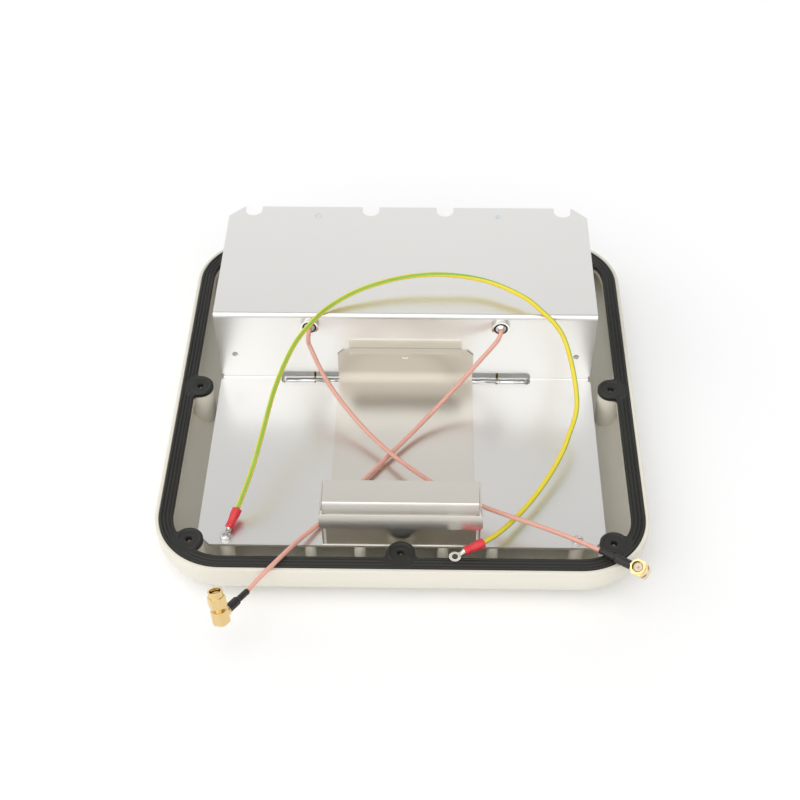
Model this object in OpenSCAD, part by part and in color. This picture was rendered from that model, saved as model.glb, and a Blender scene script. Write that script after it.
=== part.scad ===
// Outdoor panel antenna: the opened housing half with its gasket, sheet metal, feed cables and earth lead.
// Origin: centre of the housing's flat face, which the part lies on.
// X to the right, Y away from the cable side, Z up.

/* [Housing] */
// Outside width and depth of the square housing
housing_w = 260; // [230:1:320]
// Height of the outer lip above the flat face
housing_h = 29.4; // [27:0.1:36]
// Corner radius of the housing seen from above
corner_r = 38; // [30:1:50]
// Radius of the rounded edge round the flat face
edge_r = 23; // [15:0.5:24]
// Thickness of the moulded wall and floor
wall_t = 3; // [2.4:0.1:4]
// Width of the outer lip beside the gasket
lip_w = 2; // [1.5:0.1:3]
// Outside diameter of the screw bosses under the gasket lugs
boss_d = 14; // [11:0.5:16]
// Pilot hole radius in the screw bosses
boss_bore_r = 1.5; // [1.2:0.05:2]
// Depth of the pilot holes
boss_bore_l = 12; // [8:1:14]

/* [Gasket] */
// Width of the gasket ring
gasket_w = 7.6; // [6:0.1:9]
// Height of the gasket with its ribs
gasket_h = 3; // [2.4:0.1:4]
// How far the gasket's ribs stand above the lip
gasket_proud = 0.6; // [0.3:0.1:1]
// Height of the gasket's ribs
rib_h = 0.6; // [0.3:0.1:0.8]
// Radius of the screw lugs
lug_r = 7.5; // [6:0.1:9]
// Radius of the holes in the lugs
lug_bore_r = 1.8; // [1.6:0.05:2.2]
// How far the screw holes stand in from the housing's side
lug_inset = 12.5; // [10:0.1:13.4]

/* [Sheet] */
// Width of the bent sheet
sheet_w = 214.4; // [190:0.4:225]
// Thickness of the bent sheet
sheet_t = 1.5; // [1:0.1:2]
// Inside bend radius
bend_r = 1; // [0.6:0.1:2]
// Height of the base plate's top
base_z = 23.6; // [22:0.1:26]
// Front edge of the base plate
base_front = -109.1; // [-112:0.1:-100]
// Front face of the upright wall
wall_y = 13.1; // [8:0.1:20]
// Rise from the base plate to the flange
wall_rise = 49.2; // [42:0.1:60]
// Rear edge of the flange
flange_rear = 108.6; // [100:0.1:115]
// Chamfer at the base plate's front corners
front_chamfer = 7; // [4:0.5:10]
// Chamfer at the flange's rear corners
rear_chamfer = 9; // [6:0.5:12]
// Half length of the slot through the lower bend
slot_half = 72.2; // [66:0.2:80]
// How far the slot climbs the wall
slot_rise = 4.4; // [4:0.1:8]
// How far the slot reaches into the base plate
slot_reach = 4.7; // [3:0.1:6]
// Radius of the notches in the flange's rear edge
notch_r = 5; // [4:0.1:6]
// Depth of the notches
notch_depth = 8.4; // [6:0.1:10]
// Distance of the inner notches from the middle
notch_inner = 22.3; // [18:0.1:30]
// Distance of the outer notches from the middle
notch_outer = 92.8; // [86:0.1:93]
// Radius of the two fixing holes in the wall
wall_hole_r = 1.7; // [1.4:0.05:2.2]
// Distance of the fixing holes from the middle
wall_hole_x = 97.6; // [90:0.1:100]
// Height of the fixing holes above the base plate
wall_hole_rise = 18.2; // [14:0.1:24]

/* [Cradle] */
// Width of the cradle's base strip
cradle_w = 77.5; // [66:0.5:84]
// Thickness of the tinplate
tin_t = 0.8; // [0.6:0.1:1]
// Height of the rear upright above the base strip
upright_h = 22.2; // [18:0.1:26]
// Width of the folded shelf on the upright
shelf_w = 64; // [54:0.5:66]
// How far the shelf stands forward
shelf_d = 4.8; // [3:0.1:6]
// Height of the upright band above the shelf
shelf_band_h = 6.3; // [4:0.1:8]
// Height of the front pocket above the base plate
pocket_h = 34.6; // [30:0.1:38]
// Depth of the lid from the front wall to its rear edge
lid_d = 14.4; // [12:0.1:18]
// Height of the lid's front lip
lid_lip_h = 8.8; // [6:0.1:10]

/* [Feeds] */
// Distance of the feed bushings from the middle
feed_x = 53.5; // [48:0.1:60]
// Height of the feed bushings above the base plate
feed_rise = 41.7; // [36:0.1:42]
// Radius of the bushing's flange
bushing_r = 5.2; // [4.4:0.1:6]
// Radius of the bushing's barrel
barrel_r = 3; // [2.4:0.1:3.4]
// Radius of the feed pins
pin_r = 0.8; // [0.6:0.05:1.2]

/* [Cables and plugs] */
// Diameter of the coaxial cables
coax_d = 2.5; // [2:0.1:3]
// Diameter of the earth lead
earth_d = 2.7; // [2.4:0.1:3.2]
// Width across the coupling nut's flats
nut_af = 8; // [7.6:0.1:8.6]
// Length of the coupling nut
nut_l = 9.1; // [8.6:0.1:10]
// Width of the plug's elbow block
block_w = 7.8; // [7:0.1:8.4]
// Length of each heat-shrink boot
boot_l = 18; // [14:0.5:22]

/* [Hidden] */
$fn = 48;
eps = 0.01;
play = 0.05;

seat_z = housing_h + gasket_proud - gasket_h;
cavity_r = edge_r - wall_t;
ledge_t = 3;
lug_mid = housing_w / 2 - lug_inset;
lug_corner = housing_w / 2 - corner_r + (corner_r - lug_inset) / sqrt(2);
corner_steps = 9;
edge_steps = 8;
boss_places = [for (sx = [-1, 1], sy = [-1, 1]) [sx * lug_corner, sy * lug_corner]];
middle_places = [[lug_mid, 0], [0, lug_mid], [-lug_mid, 0], [0, -lug_mid]];
lug_places = concat(boss_places, middle_places);

base_under = base_z - sheet_t;
flange_z = base_z + wall_rise;
wall_back = wall_y + sheet_t;
screw_x = sheet_w / 2 - 15.2;
screw_y = base_front + 4.6;
screw_hole_r = 1.7;
screw_bore_r = 1.45;
screw_bore_l = 11;
post_d = 6;
screw_post_d = 8;
front_post_x = [21.8, 47.7];
rear_post_x = [47.7, 91];

sheet_z = 12.3;
ground_t = 0.8;
ground_half = sheet_w / 2 - 7.2;
ground_rear = ground_half + 3;
peg_x = 70;
peg_y = 60;
peg_d = 8;
board_z = 7.6;
board_t = 1.6;
board_half = ground_half - 21;
patch_half = 32;
patch_t = 0.3;
spacer_d = 5;
spacer_x = 66;
spacer_y = 48;

tin_z = base_z + tin_t;
tin_back = wall_y - tin_t;
upright_z = tin_z + upright_h;
shelf_z = upright_z + 1.8;
hem_h = 2.2;
rivet_z = upright_z - 4;
rivet_r = 1.2;
pocket_top = base_z + pocket_h;
pocket_front = base_front + 0.5;
lid_half = cradle_w / 2 + 0.85;
end_in = lid_half + 0.4;
end_out = end_in + tin_t;
band_low = pocket_top - 18.7;
band_top = pocket_top - lid_lip_h + tin_t - 2 * play;
band_r = 104;
band_lean = 0.9;
band_bulge = 1.9;

feed_z = base_z + feed_rise;
bushing_t = 2.2;
solder_l = 1.5;
pin_y = wall_back + 5.4;
barrel_end = wall_back + 2;

// The rim that the cables and the loose terminal lie over: its right side, its front side and its top.
rim_x = housing_w / 2;
rim_y = -housing_w / 2;
rim_z = housing_h + gasket_proud;

// The two plugs: the elbow's centre, the way to the boot and the way that the nut faces.
left_plug = [-87.5, rim_y - 30, rim_z + 3];
left_plug_inlet = [0.45, 0.84, -0.3];
left_plug_nose = [-0.14, 0.4, 0.91];
right_plug = [rim_x - 8.3, rim_y + 0.5, rim_z + 2.6];
right_plug_inlet = [-0.85, 0.526, 0];
right_plug_nose = [-0.28, -0.46, 0.84];
block_reach = 5.5;
block_back = 3.8;
block_top = 3.5;
nut_start = block_top + 1.7;
nut_end = nut_start + nut_l;
shaft_r = 2.5;
ring_z = nut_start + 1.4;
ring_t = 0.5;
thread_z = ring_z + 1.2;
thread_r = 2.85;
sleeve_r = 2.3;
core_r = 2.05;
contact_r = 0.64;
boot_thin_r = 1.65;
boot_thick_r = 2.4;

// The earth lead's two terminals: the ring's centre, the way to the sleeve and the sleeve's start and end.
terminal_t = 0.8;
terminal_r = 3.1;
terminal_bore_r = 1.6;
sleeve_l = 11;
fixed_ring = [-screw_x, screw_y, base_z];
fixed_sleeve = [-90.5, -100.3, 26.2];
fixed_sleeve_way = [0.34, 0.87, 0.34];
loose_ring = [27.8, rim_y + 9.2, rim_z];
loose_sleeve = [32.6, rim_y + 11.3, rim_z + 2.7];
loose_sleeve_way = [0.89, 0.44, 0.08];

// Cable routes, from the bushing or sleeve to the boot or sleeve.
left_route = [[-53.5, 10.9, 65.3], [-53.5, 8.8, 65.1], [-54, 5.8, 61], [-52.8, 3.6, 56.5],
    [-42.5, -12.4, 45], [-25.7, -31.9, 35], [-6.9, -52.1, 31.5], [13.9, -73, 34], [29.1, -83.8, 35],
    [43.7, -91.9, 35], [59.8, -99.1, 35], [72, -103.4, 34], [87.8, rim_y + 20, rim_z + 3],
    right_plug + (block_reach + boot_l) * unit(right_plug_inlet)];
right_route = [[53.5, 10.9, 65.3], [53.5, 8.8, 65.1], [52.1, 6.2, 62], [48.3, 3.9, 57.5],
    [30.8, -8.7, 42], [11.2, -27.3, 31], [-7.6, -49.9, 27.5], [-21.2, -67.9, 27], [-32.1, -82.1, 26.2],
    [-42.9, -96.3, 26], [-52.3, rim_y + 21.2, rim_z - 1.5], [-58.9, rim_y + 10.3, rim_z + coax_d / 2 - 0.05],
    [-66, rim_y + 0.5, rim_z + coax_d / 2 + 0.35], [-72.4, rim_y - 5.6, rim_z - 1.4],
    left_plug + (block_reach + boot_l) * unit(left_plug_inlet)];
earth_route = [fixed_sleeve + sleeve_l * unit(fixed_sleeve_way), [-80.1, -76.4, 42], [-75.4, -61.9, 52],
    [-69.3, -32.7, 62], [-60.8, -9, 70], [-51.1, 5.9, 74.4], [-41.5, 17.9, 75.6], [-25.2, 27.7, 79],
    [-2.9, 35, 81.5], [19.1, 37, 82.5], [41.8, 34.8, 81], [60.3, 26.1, 79.8], [73.5, 16.1, 77.2],
    [88.1, 2.6, 66.5], [95, -25, 47], [89.6, -45.7, 39], [82, -62, 34], [71, -80.1, 31.5],
    [59.6, -95.3, 30.5], [50.7, rim_y + 24.3, rim_z + 1.5],
    loose_sleeve + sleeve_l * unit(loose_sleeve_way)];
coax_spacing = 6.2;
earth_spacing = 7.5;

function unit(v) = v / norm(v);
function curve_point(a, b, c, d, t) = 0.5 * (2 * b + (c - a) * t + (2 * a - 5 * b + 4 * c - d) * t * t
    + (3 * b - a - 3 * c + d) * t * t * t);
// A route through the chosen points, running on in a straight line past each end.
function padded(route) = concat([2 * route[0] - route[1]], route,
    [2 * route[len(route) - 1] - route[len(route) - 2]]);
function smooth(route, spacing) = let (p = padded(route)) concat([for (i = [1 : len(p) - 3])
    let (n = max(1, round(norm(p[i + 1] - p[i]) / spacing))) for (k = [0 : n - 1])
    curve_point(p[i - 1], p[i], p[i + 1], p[i + 2], k / n)], [route[len(route) - 1]]);
function way(points, i) = i == 0 ? unit(points[1] - points[0])
    : i == len(points) - 1 ? unit(points[i] - points[i - 1]) : unit(points[i + 1] - points[i - 1]);

// A round cable along smoothed points. first and last fix the way that each end face looks.
module cable(route, diameter, spacing, first, last) {
    sides = 8;
    points = smooth(route, spacing);
    count = len(points);
    ways = [for (i = [0 : count - 1]) i == 0 ? unit(first) : i == count - 1 ? unit(last) : way(points, i)];
    rings = [for (i = [0 : count - 1]) let (across = unit(cross(ways[i], [0.31, 0.17, 0.93])),
        up = cross(ways[i], across)) for (k = [0 : sides - 1])
        points[i] + diameter / 2 * (cos(360 * k / sides) * across + sin(360 * k / sides) * up)];
    skin = [for (i = [0 : count - 2], k = [0 : sides - 1]) let (n = (k + 1) % sides)
        for (f = [[i * sides + k, i * sides + n, (i + 1) * sides + n],
        [i * sides + k, (i + 1) * sides + n, (i + 1) * sides + k]]) f];
    caps = [[for (k = [sides - 1 : -1 : 0]) k], [for (k = [0 : sides - 1]) (count - 1) * sides + k]];
    polyhedron(rings, concat(skin, caps), convexity = 10);
}

// One rounded square loop of half width h and corner radius r at height z.
function loop(h, r, z) = [for (q = [0 : 3], k = [0 : corner_steps]) let (a = 90 * (q + k / corner_steps),
    cx = (h - r) * (q == 0 || q == 3 ? 1 : -1), cy = (h - r) * (q < 2 ? 1 : -1))
    [cx + r * cos(a), cy + r * sin(a), z]];

// A solid through rounded square loops. Each level is [inset from the housing's side, height].
module rounded_stack(levels) {
    n = 4 * (corner_steps + 1);
    count = len(levels);
    points = [for (l = levels) each loop(housing_w / 2 - l[0], corner_r - l[0], l[1])];
    sides = [for (i = [0 : count - 2], k = [0 : n - 1]) let (m = (k + 1) % n)
        [i * n + k, i * n + m, (i + 1) * n + m, (i + 1) * n + k]];
    ends = [[for (k = [n - 1 : -1 : 0]) k], [for (k = [0 : n - 1]) (count - 1) * n + k]];
    polyhedron(points, [for (f = concat(sides, ends)) [for (k = [len(f) - 1 : -1 : 0]) f[k]]], convexity = 4);
}

// A quarter round profile from the flat face up to the side, as [inset, height] levels.
function round_edge(r, inset, z) = [for (k = [0 : edge_steps]) let (a = 90 * k / edge_steps)
    [inset + r * (1 - sin(a)), z + r * (1 - cos(a))]];

module along(centre, x_way, z_way) {
    x = unit(x_way);
    z = unit(z_way - (z_way * x) * x);
    y = cross(z, x);
    multmatrix([[x[0], y[0], z[0], centre[0]], [x[1], y[1], z[1], centre[1]], [x[2], y[2], z[2], centre[2]],
        [0, 0, 0, 1]]) children();
}

// Turns a solid that stands on Z so that it points away from the wall, along -Y, from the given place.
module facing_front(x, y, z) {
    translate([x, y, z]) rotate([90, 0, 0]) children();
}

module lug_pattern() {
    for (p = lug_places) translate([p[0], p[1], 0]) children();
}

module posts() {
    for (sx = [-1, 1]) {
        for (x = front_post_x)
            translate([sx * x, base_front + 2.7, 0]) cylinder(d = post_d, h = base_under);
        for (x = rear_post_x) translate([sx * x, 0, 0]) cylinder(d = post_d, h = base_under);
        translate([sx * screw_x, screw_y, 0]) cylinder(d = screw_post_d, h = base_under);
        for (sy = [-1, 1])
            translate([sx * peg_x, sy * peg_y, 0]) cylinder(d = peg_d, h = sheet_z - ground_t);
    }
}

module housing_tray() {
    color("antiquewhite") difference() {
        rounded_stack(concat(round_edge(edge_r, 0, 0), [[0, housing_h]]));
        difference() {
            rounded_stack(concat(round_edge(cavity_r, wall_t, wall_t),
                [[wall_t, seat_z - ledge_t - (lip_w + gasket_w - wall_t)],
                [lip_w + gasket_w, seat_z - ledge_t], [lip_w + gasket_w, housing_h + 1]]));
            lug_pattern() cylinder(d = boss_d, h = seat_z);
            posts();
        }
        rounded_stack([[lip_w, seat_z], [lip_w, housing_h + 1]]);
        lug_pattern() translate([0, 0, seat_z - boss_bore_l]) cylinder(r = boss_bore_r, h = boss_bore_l + 1);
        for (sx = [-1, 1]) translate([sx * screw_x, screw_y, base_under - screw_bore_l])
            cylinder(r = screw_bore_r, h = screw_bore_l + 1);
    }
}

module rim_gasket() {
    body_top = seat_z + gasket_h - rib_h;
    outer = lip_w + 0.1;
    inner = lip_w + gasket_w;
    rib_w = gasket_w / 5;
    color([0.11, 0.11, 0.11]) difference() {
        union() {
            difference() {
                rounded_stack([[outer, seat_z], [outer, body_top]]);
                rounded_stack([[inner, seat_z - 1], [inner, body_top + 1]]);
            }
            for (k = [0, 2, 4]) difference() {
                rounded_stack([[outer + k * rib_w, body_top - eps],
                    [outer + k * rib_w + 0.3, body_top + rib_h]]);
                rounded_stack([[outer + (k + 1) * rib_w - 0.1, body_top - 1],
                    [outer + (k + 1) * rib_w - 0.1, body_top + rib_h + 1]]);
            }
            lug_pattern() translate([0, 0, seat_z]) cylinder(r = lug_r - 0.6, h = gasket_h - 0.2);
        }
        lug_pattern() translate([0, 0, seat_z - 1]) cylinder(r = lug_bore_r, h = gasket_h + 2);
    }
}

// Quarter ring of a bend, centred on the bend's own centre, in the quadrant given by sx and sy.
module bend_section(sx, sy) {
    intersection() {
        difference() {
            circle(bend_r + sheet_t);
            circle(bend_r);
        }
        translate([sx > 0 ? 0 : -10, sy > 0 ? 0 : -10]) square(10);
    }
}

// Side view of the bent sheet, Y to the right and Z up.
module sheet_section() {
    lower = wall_y - bend_r;
    upper = wall_back + bend_r;
    translate([base_front, base_under]) square([lower - base_front, sheet_t]);
    translate([lower, base_z + bend_r]) bend_section(1, -1);
    translate([wall_y, base_z + bend_r]) square([sheet_t, wall_rise - sheet_t - 2 * bend_r]);
    translate([upper, flange_z - sheet_t - bend_r]) bend_section(-1, 1);
    translate([upper, flange_z - sheet_t]) square([flange_rear - upper, sheet_t]);
}

module rounded_slot(half, low, high, r, h) {
    translate([-half + r, low, 0]) cube([2 * (half - r), high - low, h]);
    translate([-half, low + r, 0]) cube([2 * half, high - low - r, h]);
    for (sx = [-1, 1]) translate([sx * (half - r), low + r, 0]) cylinder(r = r, h = h);
}

module corner_cut(x, y, size, low, high) {
    translate([x, y, low]) rotate([0, 0, 45]) cube([size * sqrt(2), size * sqrt(2), 2 * (high - low)],
        center = true);
}

module bent_sheet() {
    far = flange_z + 5;
    color([0.78, 0.79, 0.8]) difference() {
        rotate([90, 0, 90]) translate([0, 0, -sheet_w / 2]) linear_extrude(sheet_w) sheet_section();
        for (sx = [-1, 1]) {
            corner_cut(sx * sheet_w / 2, base_front, front_chamfer, base_z, far);
            corner_cut(sx * sheet_w / 2, flange_rear, rear_chamfer, base_z, far);
            for (x = [notch_inner, notch_outer])
                translate([sx * x, flange_rear - notch_depth + notch_r, base_z]) union() {
                    cylinder(r = notch_r, h = wall_rise + 5);
                    translate([-notch_r, 0, 0]) cube([2 * notch_r, notch_depth, wall_rise + 5]);
                }
            translate([sx * screw_x, screw_y, base_under - 1]) cylinder(r = screw_hole_r, h = sheet_t + 2);
            facing_front(sx * wall_hole_x, wall_back + 1, base_z + wall_hole_rise)
                cylinder(r = wall_hole_r, h = sheet_t + 2);
            facing_front(sx * feed_x, wall_back + 1, feed_z) cylinder(r = barrel_r + play, h = sheet_t + 2);
            translate([sx * (sheet_w / 2), wall_y, base_z]) cube([2.4, 4, 4], center = true);
        }
        facing_front(0, wall_back + 1, rivet_z) cylinder(r = rivet_r + play, h = sheet_t + 2);
        translate([0, 0, base_under - 1]) rounded_slot(slot_half, wall_y - slot_reach, wall_back + 4, 2.5,
            sheet_t + bend_r + 1.4);
        translate([0, wall_back + 1, base_z + slot_rise]) rotate([-90, 0, 0]) mirror([0, 0, 1])
            rounded_slot(slot_half, 0, slot_rise + 4, 2.5, sheet_t + 1.6);
    }
}

module board_cradle() {
    half = cradle_w / 2;
    upright_cut = 3.5;
    color([0.8, 0.78, 0.74]) difference() {
        union() {
            translate([-half, pocket_front, base_z]) cube([cradle_w, wall_y - pocket_front, tin_t]);
            translate([-half, tin_back, tin_z - eps]) cube([cradle_w, tin_t, upright_h + eps]);
            translate([-shelf_w / 2, tin_back, tin_z])
                cube([shelf_w, tin_t, shelf_z + shelf_band_h - tin_z]);
            translate([-shelf_w / 2, wall_y - shelf_d - tin_t, shelf_z - tin_t])
                cube([shelf_w, shelf_d + tin_t, tin_t]);
            translate([-shelf_w / 2, wall_y - shelf_d - tin_t, shelf_z - hem_h])
                cube([shelf_w, tin_t, hem_h]);
            translate([-half, pocket_front, base_z]) cube([cradle_w, tin_t, pocket_top - base_z]);
            for (sx = [-1, 1]) translate([sx > 0 ? end_in : -end_out, 0, 0]) rotate([90, 0, 90])
                linear_extrude(tin_t) polygon([[pocket_front, base_z], [pocket_front + 9, base_z],
                [pocket_front + 11, base_z + 9], [pocket_front + lid_d, base_z + 16],
                [pocket_front + lid_d, pocket_top + 0.6], [pocket_front, pocket_top + 0.6]]);
            translate([-end_out, pocket_front, base_z]) cube([2 * end_out, 9, tin_t]);
        }
        for (sx = [-1, 1]) translate([sx * half, wall_y, upright_z]) rotate([0, 45, 0])
            cube([upright_cut * sqrt(2), 4, upright_cut * sqrt(2)], center = true);
        facing_front(0, wall_y + 1, rivet_z) cylinder(r = rivet_r + play, h = tin_t + 2);
    }
}

// The band round the front wall: a faintly curved strip that leans back to a web under the lid's lip, with a
// short return at each end.
module cradle_band() {
    centre = [pocket_front - band_bulge + band_r, band_low - band_r * sin(band_lean)];
    half = end_out + 0.3;
    web_front = pocket_front - band_bulge + 0.75;
    color([0.72, 0.71, 0.68]) {
        translate([-half, 0, 0]) rotate([90, 0, 90]) linear_extrude(2 * half) {
            intersection() {
                difference() {
                    translate(centre) circle(band_r, $fn = 360);
                    translate(centre) circle(band_r - tin_t, $fn = 360);
                }
                translate([pocket_front - band_bulge - 1, band_low])
                    square([band_bulge + 1, band_top - band_low]);
            }
            translate([web_front, band_top - tin_t]) square([pocket_front - web_front, tin_t]);
        }
        for (sx = [-1, 1]) translate([sx > 0 ? half : -half - tin_t, 0, 0]) rotate([90, 0, 90])
            linear_extrude(tin_t) intersection() {
                translate(centre) circle(band_r, $fn = 360);
                translate([pocket_front - band_bulge - 1, band_low + 1]) square([8, band_top - band_low - 2]);
            }
    }
}

module clamp_lid() {
    lip_r = 2;
    fold_r = 1.2;
    lip_low = pocket_top - lid_lip_h + tin_t;
    lip_front = pocket_front - tin_t;
    color([0.83, 0.82, 0.79]) intersection() {
        rotate([90, 0, 90]) translate([0, 0, -lid_half]) linear_extrude(2 * lid_half) difference() {
            union() {
                translate([lip_front, lip_low]) square([tin_t, pocket_top - lip_low + tin_t - fold_r]);
                translate([lip_front + fold_r, pocket_top]) square([lid_d + tin_t - fold_r, tin_t]);
                translate([lip_front + fold_r, pocket_top + tin_t - fold_r]) circle(fold_r);
            }
            translate([pocket_front, pocket_top - 5]) square([lid_d + 5, 5]);
        }
        union() {
            translate([-lid_half, pocket_front - 5, lip_low + lip_r])
                cube([2 * lid_half, lid_d + 9, lid_lip_h + 5]);
            translate([-lid_half + lip_r, pocket_front - 5, lip_low - 1])
                cube([2 * (lid_half - lip_r), 20, 6]);
            for (sx = [-1, 1]) translate([sx * (lid_half - lip_r), pocket_front + 5, lip_low + lip_r])
                rotate([90, 0, 0]) cylinder(r = lip_r, h = 10);
        }
    }
}

module cradle_rivet() {
    head_r = 2.1;
    head_t = 0.8;
    color([0.85, 0.85, 0.83]) difference() {
        union() {
            facing_front(0, tin_back, rivet_z) cylinder(r = head_r, h = head_t);
            facing_front(0, wall_back, rivet_z) cylinder(r = rivet_r, h = wall_back - tin_back + eps);
            facing_front(0, wall_back + head_t, rivet_z) cylinder(r = head_r - 0.3, h = head_t);
        }
        facing_front(0, tin_back - head_t + 1.6, rivet_z) cylinder(r = 0.7, h = 2);
    }
}

// A pan-head screw with a cross recess, its head seated at the given height.
module pan_screw(x, y, z) {
    head_r = 2.8;
    head_h = 2.1;
    shank_r = screw_bore_r - play;
    color([0.83, 0.83, 0.82]) translate([x, y, z]) difference() {
        union() {
            intersection() {
                cylinder(r = head_r, h = head_h);
                translate([0, 0, head_h - 5.2]) sphere(5.2, $fn = 64);
            }
            translate([0, 0, base_under - screw_bore_l + 0.5 - z])
                cylinder(r = shank_r, h = z - base_under + screw_bore_l - 0.5 + eps);
        }
        for (a = [0, 90]) rotate([0, 0, a]) translate([-1.5, -0.3, head_h - 1]) cube([3, 0.6, 2]);
    }
}

module earth_screw() {
    pan_screw(-screw_x, screw_y, base_z + terminal_t);
}

module plate_screw() {
    pan_screw(screw_x, screw_y, base_z);
}

// A flanged bushing through the wall with a ring on its front face.
module feed_bushing(side) {
    recess_r = 3.9;
    color([0.8, 0.8, 0.78]) difference() {
        union() {
            facing_front(side * feed_x, wall_y, feed_z) cylinder(r = bushing_r, h = bushing_t);
            facing_front(side * feed_x, barrel_end, feed_z)
                cylinder(r = barrel_r, h = barrel_end - wall_y + eps);
        }
        facing_front(side * feed_x, wall_y - bushing_t + 0.6, feed_z) difference() {
            cylinder(r = recess_r, h = 1);
            translate([0, 0, -1]) cylinder(r = barrel_r + 0.2, h = 3);
        }
    }
}

module solder_joint(side) {
    color([0.87, 0.87, 0.86]) facing_front(side * feed_x, wall_y - bushing_t, feed_z) difference() {
        cylinder(r1 = barrel_r, r2 = coax_d / 2 + 0.4, h = solder_l);
        translate([0, 0, -1]) cylinder(r = coax_d / 2 + 5 * play, h = solder_l + 2);
    }
}

// Brass pin from the bushing, turned down behind the wall to the board.
module feed_pin(side) {
    low = board_z - board_t;
    color([0.78, 0.62, 0.3]) {
        facing_front(side * feed_x, pin_y, feed_z) cylinder(r = pin_r, h = pin_y - barrel_end);
        translate([side * feed_x, pin_y, feed_z]) sphere(pin_r);
        translate([side * feed_x, pin_y, low]) cylinder(r = pin_r, h = feed_z - low);
    }
}

module ground_sheet() {
    round_r = 8;
    color([0.85, 0.85, 0.86]) difference() {
        translate([0, 0, sheet_z - ground_t]) linear_extrude(ground_t) union() {
            translate([-ground_half, -ground_half + round_r])
                square([2 * ground_half, ground_half + ground_rear - 2 * round_r]);
            translate([-ground_half + round_r, -ground_half])
                square([2 * (ground_half - round_r), ground_half + ground_rear]);
            for (sx = [-1, 1], y = [-ground_half + round_r, ground_rear - round_r])
                translate([sx * (ground_half - round_r), y]) circle(round_r);
        }
        for (sx = [-1, 1]) {
            for (x = rear_post_x) translate([sx * x, 0, 0]) cylinder(d = post_d + 2, h = 20);
            translate([sx * feed_x, pin_y, 0]) cylinder(r = pin_r + 2, h = 20);
        }
    }
}

module patch_board() {
    color([0.72, 0.66, 0.42]) difference() {
        translate([-board_half, -board_half, board_z - board_t])
            cube([2 * board_half, 2 * board_half, board_t]);
        for (sx = [-1, 1]) {
            for (x = rear_post_x) translate([sx * x, 0, 0]) cylinder(d = post_d + 2, h = 20);
            for (sy = [-1, 1]) translate([sx * peg_x, sy * peg_y, 0]) cylinder(d = peg_d + 2, h = 20);
            translate([sx * feed_x, pin_y, 0]) cylinder(r = pin_r + play, h = 20);
        }
    }
}

module radiating_patches() {
    color([0.8, 0.5, 0.32]) for (sx = [-1, 1])
        translate([sx * (patch_half + 3) - patch_half / 2, -50, board_z - board_t - patch_t])
            cube([patch_half, 44, patch_t]);
}

module board_spacers() {
    color([0.9, 0.9, 0.88]) for (sx = [-1, 1], sy = [-1, 1])
        translate([sx * spacer_x, sy * spacer_y, board_z])
            cylinder(d = spacer_d, h = sheet_z - ground_t - board_z);
}

module left_coax() {
    color([0.85, 0.56, 0.48]) cable(left_route, coax_d, coax_spacing, [0, -1, 0], -right_plug_inlet);
}

module right_coax() {
    color([0.85, 0.56, 0.48]) cable(right_route, coax_d, coax_spacing, [0, -1, 0], -left_plug_inlet);
}

module earth_lead() {
    color([0.75, 0.8, 0.12]) cable(earth_route, earth_d, earth_spacing, fixed_sleeve_way, -loose_sleeve_way);
}

// Heat-shrink over the crimp: thick on the ferrule and thin on the cable, along local X.
module boot() {
    color([0.12, 0.11, 0.11]) translate([block_reach, 0, 0]) rotate([0, 90, 0]) {
        cylinder(r = boot_thick_r, h = boot_l / 2 - 0.5);
        translate([0, 0, boot_l / 2 - 0.5]) cylinder(r1 = boot_thick_r, r2 = boot_thin_r, h = 1);
        translate([0, 0, boot_l / 2 + 0.5]) cylinder(r = boot_thin_r, h = boot_l / 2 - 0.5);
    }
}

// Rounded square elbow with a round stub for the cable, a turned shaft for the nut and a thin front sleeve,
// along local Z.
module elbow_body() {
    half = block_w / 2;
    round_r = block_w / 3;
    stub_r = boot_thick_r + 0.5;
    color([0.86, 0.68, 0.32]) difference() {
        union() {
            translate([0, 0, -block_back]) linear_extrude(block_back + block_top) union() {
                square([block_w, block_w - 2 * round_r], center = true);
                square([block_w - 2 * round_r, block_w], center = true);
                for (sx = [-1, 1], sy = [-1, 1])
                    translate([sx * (half - round_r), sy * (half - round_r)]) circle(round_r);
            }
            rotate([0, 90, 0]) cylinder(r = stub_r, h = block_reach);
            translate([0, 0, block_top - eps]) cylinder(r = shaft_r, h = thread_z - block_top - 0.2 + eps);
            translate([0, 0, thread_z - 0.4]) cylinder(r = sleeve_r, h = nut_end - 1.6 - thread_z + 0.4);
        }
        translate([0, 0, ring_z]) difference() {
            cylinder(r = shaft_r + 1, h = ring_t + 0.1);
            translate([0, 0, -1]) cylinder(r = shaft_r - 0.3, h = ring_t + 3);
        }
        translate([0, 0, thread_z - 0.4]) cylinder(r = core_r, h = nut_l);
    }
}

module snap_ring() {
    color([0.75, 0.7, 0.55]) translate([0, 0, ring_z + 0.05]) difference() {
        cylinder(r = shaft_r + 0.35, h = ring_t);
        translate([0, 0, -1]) cylinder(r = shaft_r - 0.25, h = ring_t + 2);
    }
}

module coupling_nut() {
    corner = nut_af / 2 / cos(30);
    collar_r = nut_af / 2 - 0.3;
    color([0.9, 0.72, 0.34]) difference() {
        union() {
            intersection() {
                translate([0, 0, nut_start]) cylinder(r = corner, h = nut_l - 3, $fn = 6);
                translate([0, 0, nut_start]) cylinder(r1 = corner - 0.7, r2 = corner + 6.3, h = 7);
            }
            translate([0, 0, nut_start]) cylinder(r = collar_r, h = nut_l);
        }
        translate([0, 0, nut_start - 1]) cylinder(r = shaft_r + play, h = nut_l);
        translate([0, 0, ring_z - 0.1]) cylinder(r = shaft_r + 0.45, h = ring_t + 0.3);
        translate([0, 0, thread_z]) cylinder(r = thread_r, h = nut_l);
    }
}

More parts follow.
